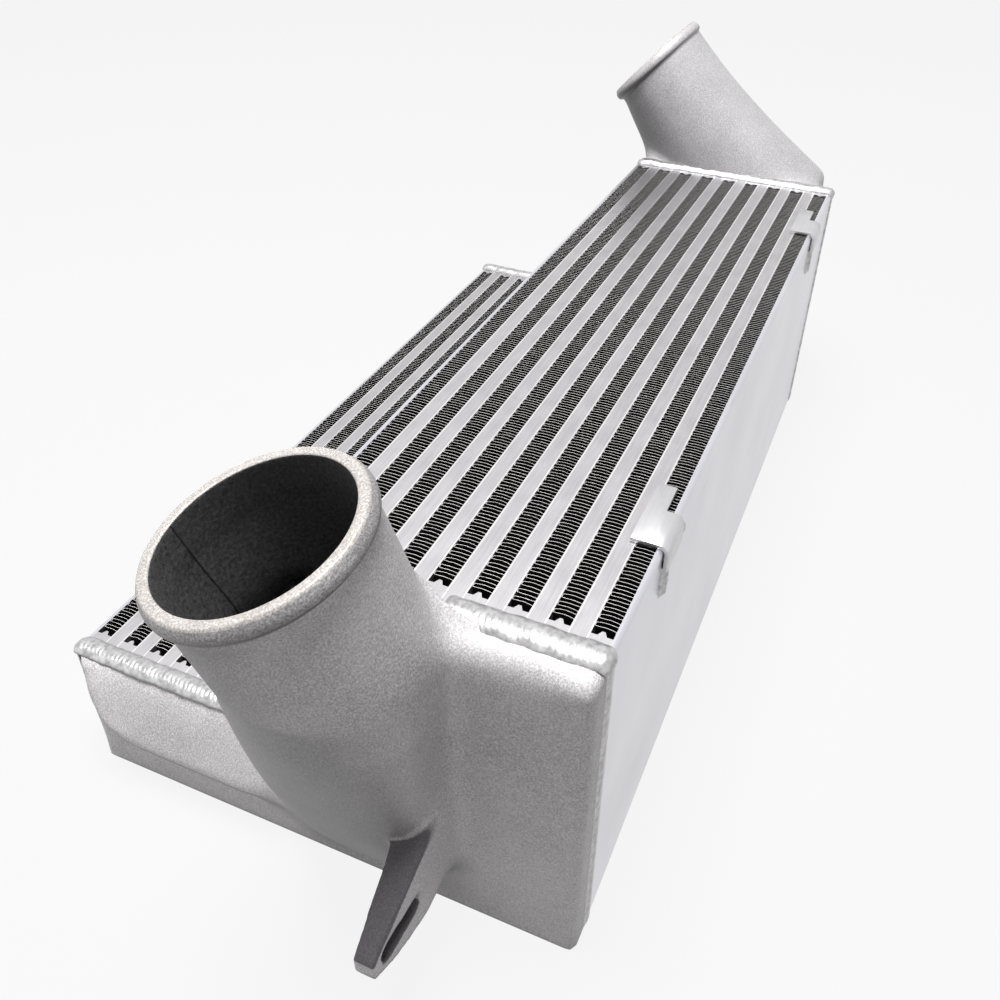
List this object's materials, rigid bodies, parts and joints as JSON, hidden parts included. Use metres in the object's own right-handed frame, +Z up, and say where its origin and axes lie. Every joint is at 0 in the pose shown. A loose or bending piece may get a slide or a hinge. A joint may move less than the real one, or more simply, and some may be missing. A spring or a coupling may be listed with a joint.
{
  "type": "intercooler",
  "caption": "Stepped bar-and-plate air-to-air intercooler with cast end tanks, round hose spigots, slotted mounting lugs and hook brackets.",
  "frame": {"origin": "on the core's underside at mid-length, in the middle of the first charge passage beside the step", "axes": "+X along the core from the inlet tank to the outlet tank, +Z up through the core's thickness, +Y from the main block towards the thin part"},
  "size_m": [0.7, 0.305, 0.2941],
  "materials": {
    "ambient_fins": "rolled foil, brazed",
    "bars": "satin, brazed",
    "plates": "mill finish with faint scratches",
    "cast_tanks": "sand-cast and shot-blasted",
    "welds": "bright rippled weld",
    "brackets": "bent sheet, satin"
  },
  "bodies": {
    "root": {"ambient_fin_01": "ambient_fins", "ambient_fin_02": "ambient_fins", "ambient_fin_03": "ambient_fins", "ambient_fin_04": "ambient_fins", "ambient_fin_05": "ambient_fins", "ambient_fin_06": "ambient_fins", "ambient_fin_07": "ambient_fins", "ambient_fin_08": "ambient_fins", "ambient_fin_09": "ambient_fins", "ambient_fin_10": "ambient_fins", "ambient_fin_11": "ambient_fins", "ambient_fin_12": "ambient_fins", "ambient_fin_13": "ambient_fins", "ambient_fin_14": "ambient_fins", "ambient_fin_15": "ambient_fins", "ambient_fin_16": "ambient_fins", "ambient_fin_17": "ambient_fins", "charge_bars_01": "bars", "charge_bars_02": "bars", "charge_bars_03": "bars", "charge_bars_04": "bars", "charge_bars_05": "bars", "charge_bars_06": "bars", "charge_bars_07": "bars", "charge_bars_08": "bars", "charge_bars_09": "bars", "charge_bars_10": "bars", "charge_bars_11": "bars", "charge_bars_12": "bars", "charge_bars_13": "bars", "charge_bars_14": "bars", "charge_bars_15": "bars", "charge_bars_16": "bars", "charge_fins_main": "ambient_fins", "charge_fins_thin": "ambient_fins", "parting_sheets_main": "bars", "parting_sheets_thin": "bars", "end_bars_inlet": "bars", "end_bars_outlet": "bars", "side_plate_main": "plates", "side_plate_thin": "plates", "step_plate": "plates", "inlet_tank": "cast_tanks", "inlet_tank_weld": "welds", "outlet_tank": "cast_tanks", "outlet_tank_weld": "welds", "bracket_near": "brackets", "bracket_far": "brackets", "bracket_welds": "welds"}
  },
  "joints": []
}
